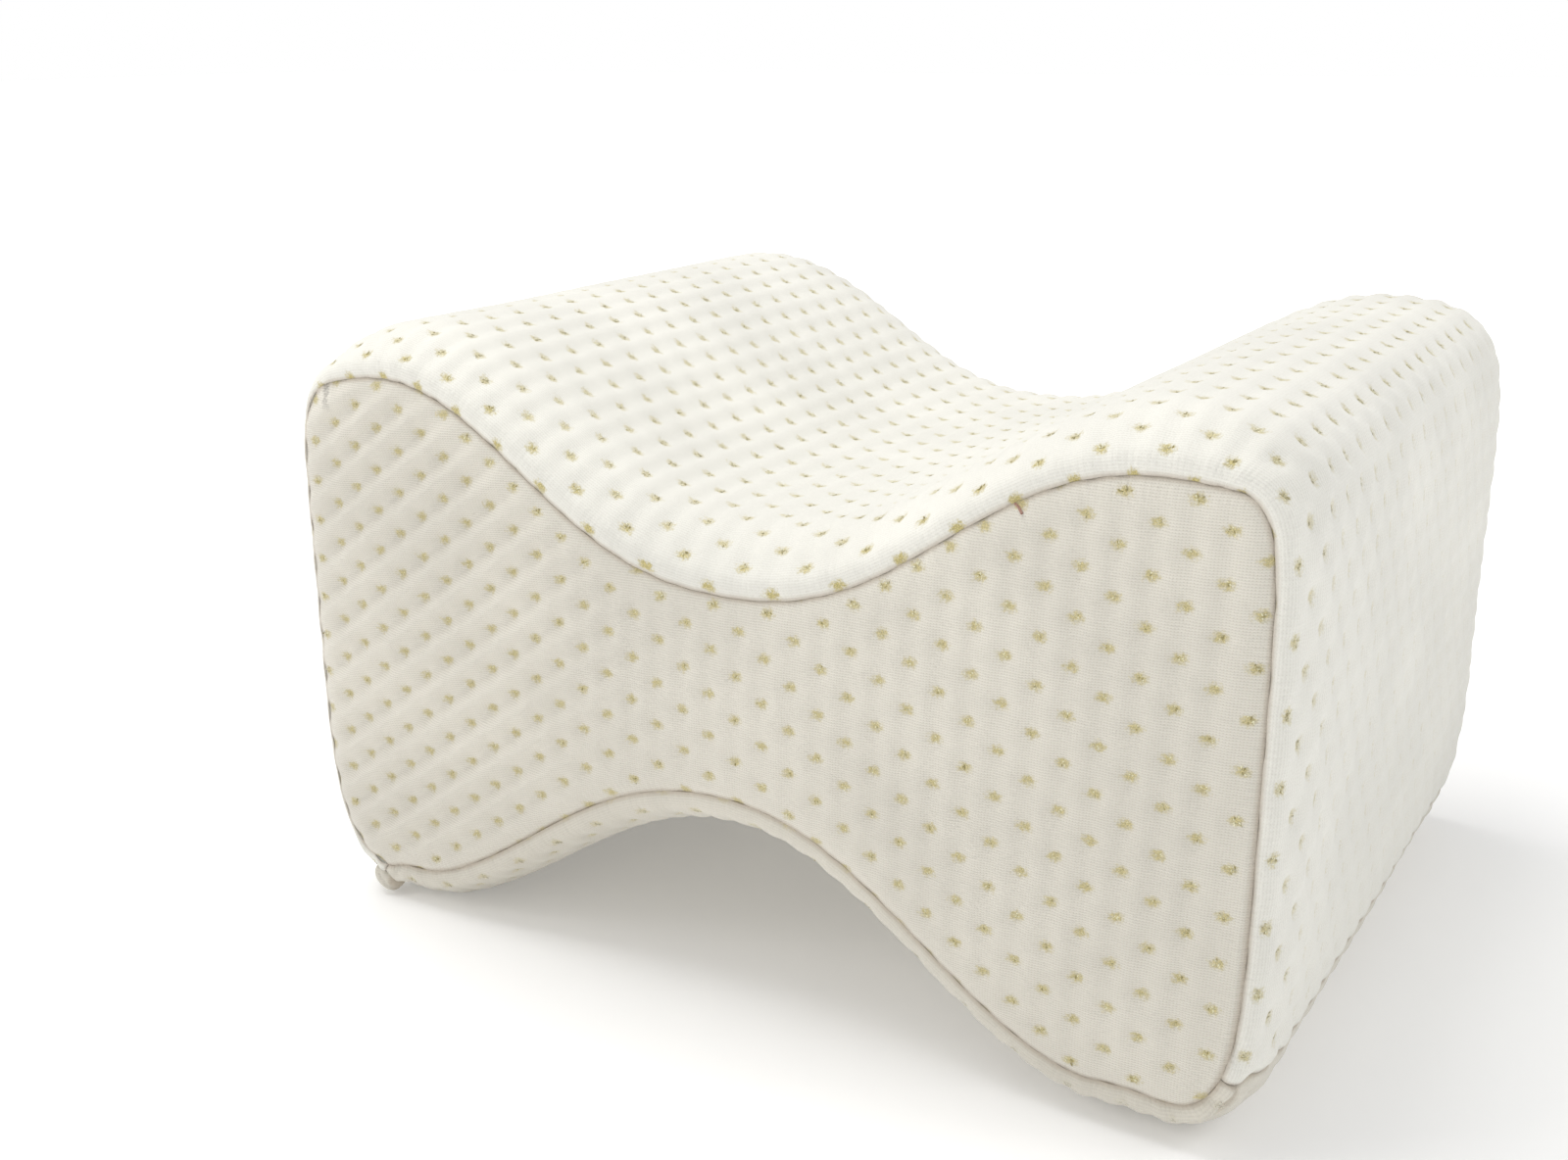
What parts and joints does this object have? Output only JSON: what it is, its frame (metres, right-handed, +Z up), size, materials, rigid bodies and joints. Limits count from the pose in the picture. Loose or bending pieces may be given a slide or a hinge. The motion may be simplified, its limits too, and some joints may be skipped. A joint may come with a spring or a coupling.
{
  "type": "knee pillow",
  "caption": "Knee pillow: an hourglass foam block in a tufted cream knitted cover, with a hollow along the top and an arch under the base for the legs.",
  "frame": {"origin": "on the floor under the middle of the pillow's width and depth", "axes": "+X along the wave of the top and the arch of the base, -Y out of the front end panel, +Z up"},
  "size_m": [0.259, 0.2006, 0.1549],
  "materials": {
    "band_knit": "thick air-layer knit, cool cream, matte",
    "panel_knit": "thick air-layer knit, warm cream, matte",
    "base_knit": "thick air-layer knit, cream, matte",
    "gold_thread": "metallic olive-gold thread, woven into tufts"
  },
  "bodies": {
    "root": {"filled_body": "band_knit", "front_panel": "panel_knit", "back_panel": "panel_knit", "base_panel": "base_knit", "corner_fold": "base_knit"}
  },
  "joints": []
}
